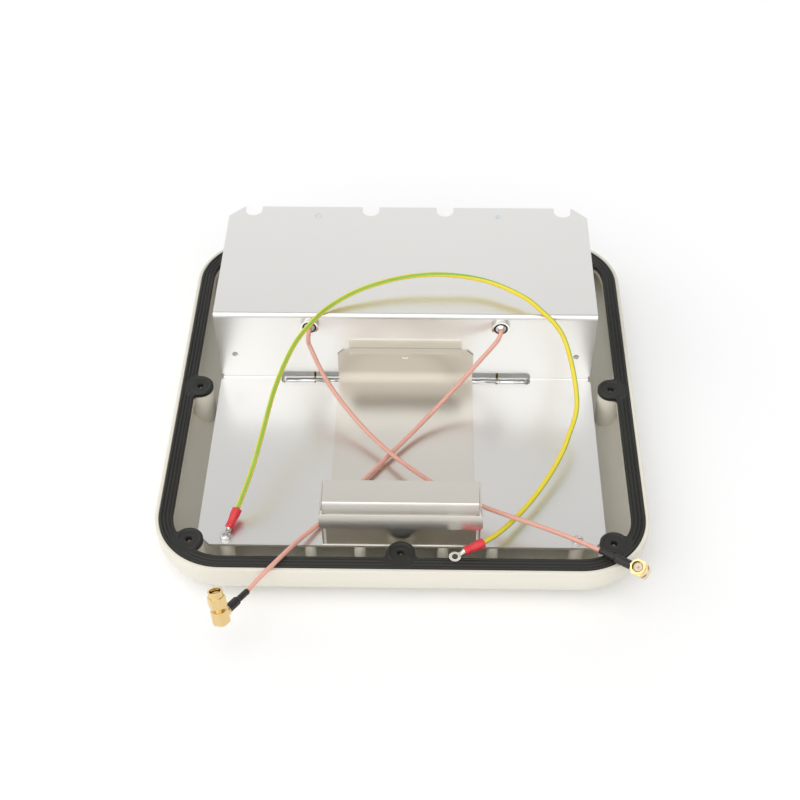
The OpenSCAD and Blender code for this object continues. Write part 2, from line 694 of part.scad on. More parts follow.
module insulator() {
    color([0.93, 0.85, 0.78]) translate([0, 0, thread_z - 0.4]) difference() {
        cylinder(r = core_r, h = nut_end - 1.9 - thread_z);
        translate([0, 0, 1]) cylinder(r = contact_r, h = nut_l);
    }
}

module contact_pin() {
    color([0.88, 0.7, 0.36]) translate([0, 0, thread_z + 0.6]) {
        cylinder(r = contact_r, h = nut_end - 2.2 - thread_z);
        translate([0, 0, nut_end - 2.2 - thread_z]) cylinder(r1 = contact_r, r2 = 0.3, h = 0.8);
    }
}

module at_left_plug() {
    along(left_plug, left_plug_inlet, left_plug_nose) children();
}

module at_right_plug() {
    along(right_plug, right_plug_inlet, right_plug_nose) children();
}

// Tinned ring with a tongue that rises into its sleeve.
module ring_terminal(centre, sleeve, sleeve_way) {
    flat_way = unit([sleeve[0] - centre[0], sleeve[1] - centre[1], 0]);
    neck = centre + (terminal_r - 0.7) * flat_way;
    color([0.82, 0.82, 0.8]) difference() {
        union() {
            translate(centre) cylinder(r = terminal_r, h = terminal_t);
            hull() {
                translate(neck) cylinder(r = 1.3, h = terminal_t, $fn = 16);
                along(sleeve - 0.4 * unit(sleeve_way), cross([0, 0, 1], sleeve_way), sleeve_way)
                    cylinder(r = 1.5, h = 0.4, $fn = 16);
            }
        }
        translate(centre + [0, 0, -1]) cylinder(r = terminal_bore_r, h = terminal_t + 2);
        translate(centre + [0, 0, terminal_t]) cylinder(r = terminal_r - 0.2, h = 4);
    }
}

module terminal_sleeve(start, sleeve_way) {
    color([0.82, 0.1, 0.13]) along(start, cross([0, 0, 1], sleeve_way), sleeve_way) {
        cylinder(r = 2.35, h = sleeve_l * 0.55);
        translate([0, 0, sleeve_l * 0.55]) cylinder(r = 2.65, h = sleeve_l * 0.45);
    }
}

housing_tray();
rim_gasket();
bent_sheet();
board_cradle();
cradle_band();
clamp_lid();
cradle_rivet();
earth_screw();
plate_screw();
feed_bushing(-1);  // left_bushing
feed_bushing(1);  // right_bushing
solder_joint(-1);  // left_solder
solder_joint(1);  // right_solder
feed_pin(-1);  // left_feed_pin
feed_pin(1);  // right_feed_pin
ground_sheet();
patch_board();
radiating_patches();
board_spacers();
left_coax();
right_coax();
earth_lead();
at_left_plug() boot();  // left_plug_boot
at_right_plug() boot();  // right_plug_boot
at_left_plug() elbow_body();  // left_plug_elbow
at_right_plug() elbow_body();  // right_plug_elbow
at_left_plug() snap_ring();  // left_snap_ring
at_right_plug() snap_ring();  // right_snap_ring
at_left_plug() coupling_nut();  // left_plug_nut
at_right_plug() coupling_nut();  // right_plug_nut
at_left_plug() insulator();  // left_insulator
at_right_plug() insulator();  // right_insulator
at_left_plug() contact_pin();  // left_contact
at_right_plug() contact_pin();  // right_contact
ring_terminal(fixed_ring, fixed_sleeve, fixed_sleeve_way);  // fixed_terminal
ring_terminal(loose_ring, loose_sleeve, loose_sleeve_way);  // loose_terminal
terminal_sleeve(fixed_sleeve, fixed_sleeve_way);  // fixed_sleeve_cover
terminal_sleeve(loose_sleeve, loose_sleeve_way);  // loose_sleeve_cover
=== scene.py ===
"""The opened half of a flat outdoor antenna: moulded housing, gasket, sheet metal, cables and plugs."""

from math import cos, pi, radians, sin, sqrt

import bmesh
import bpy
import numpy as np
from mathutils import Matrix


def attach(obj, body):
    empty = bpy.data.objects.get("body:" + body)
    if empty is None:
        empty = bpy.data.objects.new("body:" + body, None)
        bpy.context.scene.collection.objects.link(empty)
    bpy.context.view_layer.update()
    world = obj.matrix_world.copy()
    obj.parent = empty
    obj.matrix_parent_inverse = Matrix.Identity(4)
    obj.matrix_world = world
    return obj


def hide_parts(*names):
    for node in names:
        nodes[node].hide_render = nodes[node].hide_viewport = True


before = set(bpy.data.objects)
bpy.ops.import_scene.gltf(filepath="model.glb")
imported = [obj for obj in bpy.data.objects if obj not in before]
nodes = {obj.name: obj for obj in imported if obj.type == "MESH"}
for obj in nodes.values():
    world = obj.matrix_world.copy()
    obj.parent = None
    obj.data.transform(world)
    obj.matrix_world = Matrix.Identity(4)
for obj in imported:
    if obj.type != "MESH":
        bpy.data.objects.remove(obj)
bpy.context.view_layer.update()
MM = 0.001

# The viewpoint. The part is seen from above its front edge, a little to the right of its middle,
# about 0.76 m away.
view_lens = bpy.data.cameras.new("view")
view_lens.sensor_width = 36
view_lens.lens = 60.62
view_lens.shift_x = -0.0147
view_lens.shift_y = 0.0104
view = bpy.data.objects.new("view", view_lens)
bpy.context.collection.objects.link(view)
view.matrix_world = (Matrix.Translation((0.0144, -0.5336, 0.5862)) @ Matrix.Rotation(radians(1.145), 4, "Z")
                     @ Matrix.Rotation(radians(42.886), 4, "X") @ Matrix.Rotation(radians(-0.305), 4, "Z"))
bpy.context.scene.camera = view
toward_view = [0.02, -0.66, 0.75]

# The helpers: materials from the arithmetic of nodes, meshes over grids of points, and tubes along lines.


class Wire:
    """One socket of a material's nodes. Arithmetic between sockets and numbers adds Math nodes."""

    def __init__(self, tree, socket=None):
        self.tree = tree
        self.socket = socket

    def add(self, kind, settings, sockets, out=0):
        """Adds a node: its type, its settings, and its sockets' values or links."""
        node = self.tree.nodes.new(kind)
        for name, value in settings.items():
            setattr(node, name, value)
        for name, value in sockets.items():
            if isinstance(value, Wire):
                self.tree.links.new(value.socket, node.inputs[name])
            else:
                node.inputs[name].default_value = value
        return Wire(self.tree, node.outputs[out])

    def sum_up(self, operation, first, second=0.0):
        return self.add("ShaderNodeMath", {"operation": operation}, {0: first, 1: second})

    def __add__(self, other):
        return self.sum_up("ADD", self, other)

    def __radd__(self, other):
        return self.sum_up("ADD", other, self)

    def __sub__(self, other):
        return self.sum_up("SUBTRACT", self, other)

    def __rsub__(self, other):
        return self.sum_up("SUBTRACT", other, self)

    def __mul__(self, other):
        return self.sum_up("MULTIPLY", self, other)

    def __rmul__(self, other):
        return self.sum_up("MULTIPLY", other, self)

    def sine(self):
        return self.sum_up("SINE", self)

    def absolute(self):
        return self.sum_up("ABSOLUTE", self)

    def above(self, low, high):
        """0 below low, 1 above high, and a smooth step between."""
        return self.add("ShaderNodeMapRange", {"interpolation_type": "SMOOTHSTEP"},
                        {"Value": self, "From Min": low, "From Max": high})

    def tint(self, low, high):
        """The colour low where this mask is 0 and high where it is 1. Either may be a colour link."""
        ends = [c if isinstance(c, Wire) else (*c, 1) for c in (low, high)]
        return self.add("ShaderNodeMix", {"data_type": "RGBA"}, {0: self, 6: ends[0], 7: ends[1]}, 2)

    def place(self):
        """Object coordinates, in metres."""
        return self.add("ShaderNodeTexCoord", {}, {}, "Object")

    def lay(self):
        """The piece's own map: metres along it, and turns round it."""
        return self.add("ShaderNodeUVMap", {"uv_map": "lay"}, {})

    def axis(self, vector, name):
        return self.add("ShaderNodeSeparateXYZ", {}, {"Vector": vector}, name)

    def stretched(self, vector, scale):
        """A place scaled along each axis, so that a grain runs one way."""
        return self.add("ShaderNodeVectorMath", {"operation": "MULTIPLY"}, {0: vector, 1: scale})

    def grain(self, vector, scale, detail=2.0, rough=0.5):
        """Cloudy noise from 0 to 1, with that many waves per metre."""
        return self.add("ShaderNodeTexNoise", {}, {"Vector": vector, "Scale": scale, "Detail": detail,
                                                   "Roughness": rough}, "Fac")

    def specks(self, vector, scale):
        """Distance to the nearest of many scattered points."""
        return self.add("ShaderNodeTexVoronoi", {}, {"Vector": vector, "Scale": scale}, "Distance")


def finish(name, paint, relief=None, depth=0.0001, **plain):
    """A Principled material. paint gives what varies, relief its height, and plain its fixed values."""
    material = bpy.data.materials.new(name)
    material.use_nodes = True
    tree = material.node_tree
    shader = tree.nodes["Principled BSDF"]
    start = Wire(tree)
    for socket, value in paint(start).items():
        tree.links.new(value.socket, shader.inputs[socket])
    for socket, value in plain.items():
        shader.inputs[socket.replace("_", " ")].default_value = value
    if relief is not None:
        bump = start.add("ShaderNodeBump", {}, {"Strength": 1.0, "Distance": depth, "Height": relief(start)})
        tree.links.new(bump.socket, shader.inputs["Normal"])
    return material


def net(name, points, material, round_u=False, round_v=False, caps=False):
    """A mesh over a grid of points, one face for each cell. round_u and round_v join the last row or column
    to the first, and caps closes the first and last row with one face each."""
    rows, columns = points.shape[:2]
    row = np.arange(rows if round_u else rows - 1)
    column = np.arange(columns if round_v else columns - 1)
    u, v = (a.ravel() for a in np.meshgrid(row, column, indexing="ij"))
    u_next, v_next = (u + 1) % rows, (v + 1) % columns
    faces = np.stack([u * columns + v, u * columns + v_next, u_next * columns + v_next,
                      u_next * columns + v], 1).tolist()
    if caps:
        faces.append(list(range(columns))[::-1])
        faces.append(list(range((rows - 1) * columns, rows * columns)))
    mesh = bpy.data.meshes.new(name)
    mesh.from_pydata(points.reshape(-1, 3).tolist(), [], faces)
    mesh.polygons.foreach_set("use_smooth", np.ones(len(faces), bool))
    mesh.materials.append(material)
    piece = bpy.data.objects.new(name, mesh)
    bpy.context.collection.objects.link(piece)
    return piece


def settle(piece, body, material_slot, *replaced):
    """Rides a finished piece on its body, in place of the CAD nodes it stands for. Its material slot is not
    used.
    """
    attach(piece, body)
    if replaced:
        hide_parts(*replaced)
    return piece


def unit(vector):
    vector = np.asarray(vector, float)
    return vector / np.linalg.norm(vector)


def run_of(points, step):
    """The smooth line through chosen points, in metres: each stretch is a cubic that passes through its two
    ends and leaves each end along the way between that end's neighbours."""
    p = np.asarray(points, float) * MM
    p = np.vstack([2 * p[0] - p[1], p, 2 * p[-1] - p[-2]])
    stretches = []
    for a, b, c, d in zip(p[:-3], p[1:-2], p[2:-1], p[3:]):
        count = max(2, int(np.ceil(np.linalg.norm(c - b) / step)))
        t = (np.arange(count) / count)[:, None]
        stretches.append(0.5 * (2 * b + (c - a) * t + (2 * a - 5 * b + 4 * c - d) * t**2
                                + (3 * b - a - 3 * c + d) * t**3))
    return np.vstack(stretches + [p[-2:-1]])


def lie_of(line):
    """How far along the line each of its points is."""
    return np.concatenate([[0], np.cumsum(np.linalg.norm(np.diff(line, axis=0), axis=1))])


def tube(name, line, radius, sides, material):
    """A round tube: at each point of the line, a circle of that radius square to the line's own direction.
    Its map holds metres along the line and turns round it, from its right-hand side as the viewpoint sees
    it."""
    along = np.gradient(line, axis=0)
    along /= np.linalg.norm(along, axis=1)[:, None]
    across = np.cross(along, toward_view)
    across /= np.linalg.norm(across, axis=1)[:, None]
    up = np.cross(along, across)
    angle = 2 * pi * np.arange(sides) / sides
    radius = np.broadcast_to(radius, len(line))[:, None, None]
    rings = line[:, None] + radius * (np.cos(angle)[None, :, None] * across[:, None]
                                      + np.sin(angle)[None, :, None] * up[:, None])
    piece = net(name, rings, material, round_v=True, caps=True)
    mesh = piece.data
    run = lie_of(line)
    corner = np.zeros(len(mesh.loops), int)
    mesh.loops.foreach_get("vertex_index", corner)
    u, v = run[corner // sides], (corner % sides) / sides
    wraps = np.zeros(len(corner), bool)
    skin = v[:4 * sides * (len(line) - 1)]
    on_seam = np.repeat(skin.reshape(-1, 4).max(1) > 1 - 1.5 / sides, 4)
    wraps[:len(skin)] = on_seam & (skin < 0.5 / sides)
    mesh.uv_layers.new(name="lay").data.foreach_set("uv", np.stack([u, v + wraps], 1).ravel())
    return piece


# The two coaxial cables. Each is a silver braid under a clear brown fluoropolymer jacket, 2.5 mm thick,
# soldered into its bushing high on the wall. They cross once above the base plate and end in their boots.
braid_pitch = 1.6 * MM
braid_starts = 6


def braid(start):
    """Two sets of strands wound opposite ways, from 0 in the gaps to 1 on the strands."""
    lay = start.lay()
    u = start.axis(lay, "X") * (2 * pi / braid_pitch)
    v = start.axis(lay, "Y") * (2 * pi * braid_starts)
    return (u + v).sine() * (u - v).sine() * 0.5 + 0.5


def jacket_paint(start):
    strands = braid(start).above(0.2, 0.9)
    cloud = start.grain(start.place(), 60, 3)
    copper = cloud.tint((0.66, 0.26, 0.19), (0.76, 0.35, 0.27))
    return {"Base Color": (strands * 0.7).tint(copper, (0.90, 0.56, 0.46)),
            "Roughness": 0.24 + 0.14 * cloud}


coax_jacket = finish("coax_jacket", jacket_paint, braid, 0.00004, Coat_Weight=0.5, Coat_Roughness=0.16,
                     Specular_IOR_Level=0.5)
coax_thick = 2.5 * MM
boot_long = 18.0
inlet_reach = 5.5
left_plug = np.array([-87.5, -160, 33])
left_inlet = unit([0.45, 0.84, -0.3])
right_plug = np.array([121.7, -129.5, 32.6])
right_inlet = unit([-0.85, 0.526, 0])
left_route = [[-53.5, 10.9, 65.3], [-53.5, 8.8, 65.1], [-54, 5.8, 61], [-52.8, 3.6, 56.5], [-42.5, -12.4, 45],
              [-25.7, -31.9, 35], [-6.9, -52.1, 31.5], [13.9, -73, 34], [29.1, -83.8, 35], [43.7, -91.9, 35],
              [59.8, -99.1, 35], [72, -103.4, 34], [87.8, -110, 33],
              right_plug + (inlet_reach + boot_long) * right_inlet]
right_route = [[53.5, 10.9, 65.3], [53.5, 8.8, 65.1], [52.1, 6.2, 62], [48.3, 3.9, 57.5], [30.8, -8.7, 42],
               [11.2, -27.3, 31], [-7.6, -49.9, 27.5], [-21.2, -67.9, 27], [-32.1, -82.1, 26.2],
               [-42.9, -96.3, 26], [-52.3, -108.8, 28.5], [-58.9, -119.7, 31.2], [-66, -129.5, 31.6],
               [-72.4, -135.6, 28.6], left_plug + (inlet_reach + boot_long) * left_inlet]
for side, route, plug in (("left", left_route, "right"), ("right", right_route, "left")):
    line = run_of(route, 0.0008)
    piece = tube(f"{side}_coax_jacket", line, coax_thick / 2, 16, coax_jacket)
    settle(piece, "housing", "coax_jacket", f"{side}_coax")

# The earth lead: yellow insulation with a green stripe, 2.7 mm thick. It rises from the screwed terminal,
# lies over the flange's front edge twice and comes down to the loose terminal on the gasket.


def earth_paint(start):
    """Yellow with one green stripe, which turns a fifth of the way round between 0.17 and 0.25 m."""
    lay = start.lay()
    turn = start.axis(lay, "Y") + 0.19 * start.axis(lay, "X").above(0.17, 0.25)
    stripe = (turn * (-2 * pi)).sine().above(0.80, 0.88)
    dust = start.grain(start.place(), 90, 4)
    yellow = dust.tint((0.78, 0.60, 0.02), (0.86, 0.70, 0.05))
    green = dust.tint((0.22, 0.46, 0.04), (0.30, 0.55, 0.07))
    return {"Base Color": stripe.tint(yellow, green), "Roughness": 0.28 + 0.2 * dust}


earth_jacket = finish("earth_jacket", earth_paint, lambda start: start.grain(start.place(), 900, 2), 0.00003,
                      Coat_Weight=0.15, Coat_Roughness=0.3)
earth_thick = 2.7 * MM
sleeve_long = 11.0
fixed_sleeve = np.array([-90.5, -100.3, 26.2])
fixed_way = unit([0.34, 0.87, 0.34])
loose_sleeve = np.array([32.6, -118.7, 32.7])
loose_way = unit([0.89, 0.44, 0.08])
earth_route = [fixed_sleeve + sleeve_long * fixed_way, [-80.1, -76.4, 42], [-75.4, -61.9, 52],
               [-69.3, -32.7, 62], [-60.8, -9, 70], [-51.1, 5.9, 74.4], [-41.5, 17.9, 75.6],
               [-25.2, 27.7, 79], [-2.9, 35, 81.5], [19.1, 37, 82.5], [41.8, 34.8, 81], [60.3, 26.1, 79.8],
               [73.5, 16.1, 77.2], [88.1, 2.6, 66.5], [95, -25, 47], [89.6, -45.7, 39], [82, -62, 34],
               [71, -80.1, 31.5], [59.6, -95.3, 30.5], [50.7, -105.7, 31.5],
               loose_sleeve + sleeve_long * loose_way]
earth_line = run_of(earth_route, 0.0012)
earth = tube("earth_lead_jacket", earth_line, earth_thick / 2, 16, earth_jacket)
settle(earth, "housing", "earth_jacket", "earth_lead")

# The housing half: one ivory moulding 3 mm thick with a broad rounded edge, a lip round the rim, a seat for
# the gasket and, inside, a boss under each screw lug and posts that carry the sheet metal.
housing_half = 130.0
corner_round = 38.0
rim_top = 29.4
edge_round = 23.0
wall = 3.0
seat_top = 27.0
gasket_inset = 9.6
lug_middle = 117.5
lug_corner = 110.0
lug_centres = np.array([[x * lug_corner, y * lug_corner] for x in (-1, 1) for y in (-1, 1)]
                       + [[lug_middle, 0], [0, lug_middle], [-lug_middle, 0], [0, -lug_middle]])


def rounded_square(half, round_radius, corner_points=20, side_points=6):
    """Points round a square with rounded corners, from the middle of the front side, going right."""
    straight = np.linspace(-(half - round_radius), half - round_radius, side_points, endpoint=False)
    angle = np.linspace(-pi / 2, 0, corner_points, endpoint=False)
    side = np.stack([straight, np.full_like(straight, -half)], 1)
    circle = np.stack([np.cos(angle), np.sin(angle)], 1)
    corner = (half - round_radius) * np.array([1, -1]) + round_radius * circle
    quarter = np.vstack([side, corner])
    turns = [np.array([[cos(a), -sin(a)], [sin(a), cos(a)]]) for a in (0, pi / 2, pi, 3 * pi / 2)]
    return np.vstack([quarter @ turn.T for turn in turns])


def arc(centre, radius, start, end, count):
    """Points of an arc, as (inset, height), from one angle to another in degrees."""
    angle = np.radians(np.linspace(start, end, count))
    return np.stack([centre[0] + radius * np.cos(angle), centre[1] + radius * np.sin(angle)], 1)


def lathe(profile, centre=(0, 0), sides=32):
    """A profile of (radius, height) turned about an upright axis: rows follow the profile."""
    angle = 2 * pi * np.arange(sides) / sides
    radius, height = np.asarray(profile, float).T
    return np.stack([centre[0] + radius[:, None] * np.cos(angle), centre[1] + radius[:, None] * np.sin(angle),
                     np.broadcast_to(height[:, None], (len(height), sides))], 2)


def join(name, pieces):
    """Makes one piece of several meshes that share a finish."""
    joined = pieces[0]
    with bpy.context.temp_override(active_object=joined, selected_editable_objects=pieces,
                                   selected_objects=pieces):
        bpy.ops.object.join()
    joined.name = name
    joined.data.name = name
    return joined


def moulded_paint(start):
    place = start.place()
    cloud = start.grain(place, 18, 3)
    fine = start.grain(place, 700, 3)
    colour = cloud.tint((0.775, 0.745, 0.65), (0.805, 0.775, 0.685))
    return {"Base Color": (fine.above(0.62, 0.8) * 0.25).tint(colour, (0.67, 0.64, 0.55)),
            "Roughness": 0.40 + 0.12 * fine}


ivory = finish("ivory_moulding", moulded_paint,
               lambda start: start.grain(start.place(), 1400, 3) + 0.5 * start.grain(start.place(), 260, 2),
               0.00005, Specular_IOR_Level=0.45)
lip_round = 0.6
housing_profile = np.vstack([
    arc((edge_round, edge_round), edge_round, 270, 180, 16),
    arc((lip_round, rim_top - lip_round), lip_round, 180, 90, 5),
    arc((2 - lip_round / 2, rim_top - lip_round / 2), lip_round / 2, 90, 0, 3),
    [[2, seat_top + 0.2], [2.2, seat_top], [gasket_inset - 0.6, seat_top]],
    arc((gasket_inset - 0.6, seat_top - 0.6), 0.6, 90, 0, 4),
    [[gasket_inset, seat_top - 3], [wall + 0.4, 17.6]],
    arc((edge_round, edge_round), edge_round - wall, 180, 270, 14)])
rings = np.stack([np.insert(rounded_square(housing_half - inset, corner_round - inset), 2, height, axis=1)
                  for inset, height in housing_profile])
shell = net("housing_shell", rings * MM, ivory, round_v=True, caps=True)


def boss(x, y, radius, top, bore_radius, bore_depth):
    """A post that rises from 1 mm inside the moulding's skin. It has a blind hole unless its bore radius is
    0."""
    edge = 0.4
    profile = [[radius, 0], [radius, top - edge], [radius - edge, top]]
    if bore_radius:
        profile += [[bore_radius + 0.2, top], [bore_radius, top - 0.2], [bore_radius, top - bore_depth],
                    [0.02, top - bore_depth]]
    else:
        profile += [[0.02, top]]
    points = lathe(profile, (x, y))
    corner = housing_half - corner_round
    over = np.maximum(np.abs(points[0, :, :2]) - corner, 0)
    inset = corner_round - np.hypot(over[:, 0], over[:, 1])
    into = np.clip(edge_round - inset, 0, edge_round - wall - 0.01)
    points[0, :, 2] = edge_round - np.sqrt((edge_round - wall) ** 2 - into**2) - 1
    return net("boss", points * MM, ivory, round_v=True)


post_top = 22.1
post_bore_deep = 11
peg_top = 11.5
lug_bosses = [boss(x, y, 7, seat_top, 1.5, 12) for x, y in lug_centres]
posts = [boss(s * x, y, r, post_top, bore, post_bore_deep) for s in (-1, 1)
         for x, y, r, bore in ((21.8, -106.4, 3, 0), (47.7, -106.4, 3, 0), (92, -104.5, 4, 1.45),
                               (47.7, 0, 3, 0), (91, 0, 3, 0))]
pegs = [boss(x, y, 4, peg_top, 0, 0) for x in (-70, 70) for y in (-60, 60)]
housing = join("housing_moulding", [shell] + lug_bosses + posts + pegs)
settle(housing, "housing", "ivory_plastic", "housing_tray")

# The rim gasket: a black rubber strip in the housing's seat, with ribs along its top and a rounded lug with
# a raised bead at each screw.
gasket_outer = 127.9
gasket_corner = corner_round - (housing_half - gasket_outer)
gasket_base = 29.35
lug_radius = 7.4
lug_deep = gasket_outer - lug_middle
fillet_end = 9.6
outer_fillet_end = 10.4
rib_half = 0.75


def rubber_paint(start):
    place = start.place()
    cloud = start.grain(place, 40, 4)
    dust = 1 - start.specks(place, 520).above(0.03, 0.10)
    patches = start.grain(place, 30, 2).above(0.54, 0.68)
    black = cloud.tint((0.010, 0.010, 0.0085), (0.022, 0.022, 0.019))
    return {"Base Color": (dust * patches * 0.4).tint(black, (0.5, 0.48, 0.44)),
            "Roughness": 0.34 + 0.2 * cloud}


rubber = finish("ribbed_rubber", rubber_paint, lambda start: start.grain(start.place(), 1500, 3), 0.00005,
                Specular_IOR_Level=0.42)


def eighth_of_gasket():
    """The outer edge, its inward way and the inner edge, from the middle of the front side to its right
    corner. The inner edge runs round half of the middle lug, along the strip, and round half of the corner
    lug."""
    strip = gasket_inset - (housing_half - gasket_outer)
    centre = gasket_outer - gasket_corner
    inner_round = gasket_corner - strip
    turn = np.radians(np.linspace(0, 90, 26, endpoint=False))
    bend = np.linspace(0, 1, 8, endpoint=False)[:, None]
    lug = np.stack([lug_radius * np.sin(turn), lug_deep + lug_radius * np.cos(turn)], 1)

    def lead(deep_at):
        """The fillet from the lug's side to the strip, as a curve pulled towards their corner."""
        a, b, c = (np.array([lug_radius, lug_deep]), np.array([lug_radius, deep_at(lug_radius)]),
                   np.array([fillet_end, deep_at(fillet_end)]))
        return (1 - bend) ** 2 * a + 2 * bend * (1 - bend) * b + bend**2 * c

    middle = np.vstack([lug, lead(lambda s: strip)])
    straight = np.linspace(fillet_end, centre, 26, endpoint=False)
    inner_a = np.vstack([middle, np.stack([straight, np.full_like(straight, strip)], 1)])
    outer_s = np.concatenate([np.linspace(0, outer_fillet_end, len(middle), endpoint=False),
                              np.linspace(outer_fillet_end, centre, len(straight), endpoint=False)])
    corner = np.vstack([lug, lead(lambda s: gasket_corner - sqrt(inner_round**2 - s**2))])[::-1]
    diagonal = pi / 4
    inner_start = np.arcsin(fillet_end / inner_round)
    outer_start = np.arcsin(outer_fillet_end / gasket_corner)
    plain = np.linspace(0, 1, 22, endpoint=False)
    inner_angle = plain * (diagonal - inner_start)
    inner_b = np.stack([centre + inner_round * np.sin(inner_angle),
                        gasket_outer - centre - inner_round * np.cos(inner_angle)], 1)
    outer_angle = np.concatenate([plain * (diagonal - outer_start),
                                  diagonal - np.linspace(outer_start, 0, len(corner), endpoint=True)])
    across, deep = -corner[:, 0], gasket_corner - corner[:, 1]
    inner_c = np.stack([centre + across * cos(diagonal) + deep * sin(diagonal),
                        gasket_outer - centre - deep * cos(diagonal) + across * sin(diagonal)], 1)
    inner = np.vstack([inner_a, inner_b, inner_c])
    inner = np.stack([inner[:, 0], inner[:, 1] - gasket_outer], 1)
    outer = np.vstack([np.stack([outer_s, np.full_like(outer_s, -gasket_outer)], 1),
                       np.stack([centre + gasket_corner * np.sin(outer_angle),
                                 -centre - gasket_corner * np.cos(outer_angle)], 1)])
    inward = np.vstack([np.tile([0.0, 1.0], (len(outer_s), 1)),
                        np.stack([-np.sin(outer_angle), np.cos(outer_angle)], 1)])
    return outer, inward, inner


def gasket_surface():
    """Rows run round the rim and columns across the strip, where deep is 99 on the lugs' own ground. The
    top's height adds three half-round ribs at fixed distances from the outer edge, a finer one along the
    inner edge, and a bead at a fixed distance from each lug's centre."""
    outer, inward, inner = eighth_of_gasket()
    flip = np.array([-1, 1])
    halves = [np.vstack([(a * flip)[::-1], a[1:]]) for a in (outer, inward, inner)]
    ring = [np.vstack([a[:-1] @ np.array([[cos(q), -sin(q)], [sin(q), cos(q)]]).T
                       for q in (0, pi / 2, pi, 3 * pi / 2)]) for a in halves]
    outer, inward, inner = ring
    strip_columns = np.concatenate([[0, 0.12], np.linspace(0.3, 6, 30)])
    strip = outer[:, None] + strip_columns[:, None] * inward[:, None]
    share = np.linspace(0, 1, 26)[1:, None]
    pad = strip[:, -1:] * (1 - share) + inner[:, None] * share
    plan = np.concatenate([strip, pad], 1)
    deep = np.concatenate([np.broadcast_to(strip_columns, strip.shape[:2]), np.full(pad.shape[:2], 99.0)], 1)
    lug_gap = np.min(np.linalg.norm(plan[:, :, None] - lug_centres, axis=3), axis=2)
    edge_gap = np.linalg.norm(plan - inner[:, None], axis=2)
    near_lug = np.clip((10.2 - lug_gap) / 1.6, 0, 1)
    ribs = sum(np.sqrt(np.maximum(0, 1 - ((deep - c) / rib_half) ** 2)) * keep
               for c, keep in ((1.0, 1 - 0.6 * near_lug), (2.9, 1 - near_lug), (4.8, 1 - near_lug)))
    bead = np.sqrt(np.maximum(0, 1 - ((lug_gap - 6.1) / rib_half) ** 2)) * (deep > 90)
    inner_rib = np.sqrt(np.maximum(0, 1 - ((edge_gap - 0.9) / 0.6) ** 2)) * (1 - near_lug)
    dimple = np.clip((3.0 - lug_gap) / 0.8, 0, 1)
    height = gasket_base + 0.6 * ribs + 0.55 * bead + 0.35 * inner_rib - 0.25 * dimple
    height -= 0.35 * np.clip(1 - edge_gap / 0.3, 0, 1) ** 2 + 0.5 * np.clip(1 - deep / 0.25, 0, 1)
    height = np.clip(height, seat_top + 0.5, 30)
    top = np.concatenate([plan, height[:, :, None]], 2)
    foot = [np.insert(edge, 2, seat_top + 0.01, axis=1)[:, None] for edge in (outer, inner)]
    return np.concatenate([foot[0], top, foot[1]], 1)


gasket = net("rim_seal", gasket_surface() * MM, rubber, round_u=True, round_v=True)


def cut(piece, cutters):
    """Takes the cutters' shapes out of the piece, for round holes with clean edges."""
    for cutter in cutters:
        hole = piece.modifiers.new("hole", "BOOLEAN")
        hole.operation = "DIFFERENCE"
        hole.solver = "EXACT"
        hole.object = cutter
    bpy.context.view_layer.update()
    mesh = bpy.data.meshes.new_from_object(piece.evaluated_get(bpy.context.evaluated_depsgraph_get()))
    piece.modifiers.clear()
    piece.data = mesh
    for cutter in cutters:
        bpy.data.objects.remove(cutter)
    return piece


hole_profile = [[1, 20], [1, seat_top + 0.7], [1.8, 28.6], [1.8, 35]]
cut(gasket, [net("hole", lathe(hole_profile, centre) * MM, rubber, round_v=True, caps=True)
             for centre in lug_centres])
settle(gasket, "housing", "black_rubber", "rim_gasket")

# The sheet metal: rolled aluminium 1.5 mm thick, bent up to the wall and back to the flange, and the polished
# ground sheet, which lies under its base plate.


def rolled_paint(base, tone, smooth):
    """Bright rolled metal: long faint streaks along X and soft stains."""
    def paint(start):
        place = start.place()
        streaks = start.grain(start.stretched(place, (1, 14, 14)), 120, 4, 0.6)
        stain = start.grain(place, 14, 3)
        colour = (stain * 0.6 + streaks * 0.4).tint(base, tone)
        return {"Base Color": colour, "Roughness": smooth + 0.05 * streaks + 0.04 * stain}
    return paint


def rolled_relief(start):
    return start.grain(start.stretched(start.place(), (1, 9, 9)), 240, 3)


def sheet_paint(start):
    """Rolled aluminium with a pale blue inspection dab near the rear edge of each half of the flange."""
    sockets = rolled_paint((0.80, 0.80, 0.79), (0.86, 0.86, 0.85), 0.27)(start)
    place = start.place()
    x, y = start.axis(place, "X").absolute() - 53.7 * MM, start.axis(place, "Y") - 100 * MM
    near = 1 - start.sum_up("SQRT", x * x + y * y).above(0.0012, 0.003)
    dab = near * start.grain(place, 700, 2).above(0.42, 0.6)
    sockets["Base Color"] = (dab * 0.7).tint(sockets["Base Color"], (0.36, 0.62, 0.80))
    return sockets


aluminium = finish("rolled_aluminium", sheet_paint, rolled_relief, 0.00002, Metallic=1.0)


